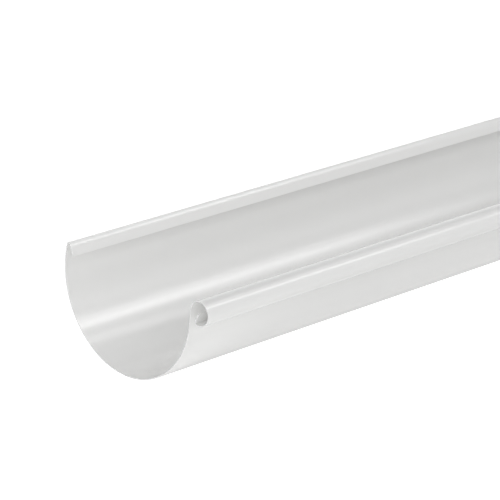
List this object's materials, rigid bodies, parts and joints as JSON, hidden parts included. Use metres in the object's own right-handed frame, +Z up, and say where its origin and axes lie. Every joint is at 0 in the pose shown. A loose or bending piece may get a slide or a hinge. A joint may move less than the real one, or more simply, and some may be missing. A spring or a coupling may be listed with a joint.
{
  "type": "gutter section",
  "caption": "Long half-round eaves gutter rolled from one white coated steel strip, with a rolled front bead and a folded back edge, open at both ends.",
  "frame": {"origin": "mid length, on the outside of the trough, on the line that the gutter rests on when it lies on a level floor; the trough's own axis is 62.5 mm above it", "axes": "+X along the gutter, -Y towards the front bead, +Z up. The gutter lies as it comes to rest on a floor, rolled 15.3 degrees about X towards its bead from the way it hangs; the axis of mount bracket_seat points straight down when it hangs"},
  "size_m": [3, 0.1395, 0.0966],
  "materials": {
    "coated_steel": "satin"
  },
  "bodies": {
    "root": {"gutter": "coated_steel"}
  },
  "joints": []
}
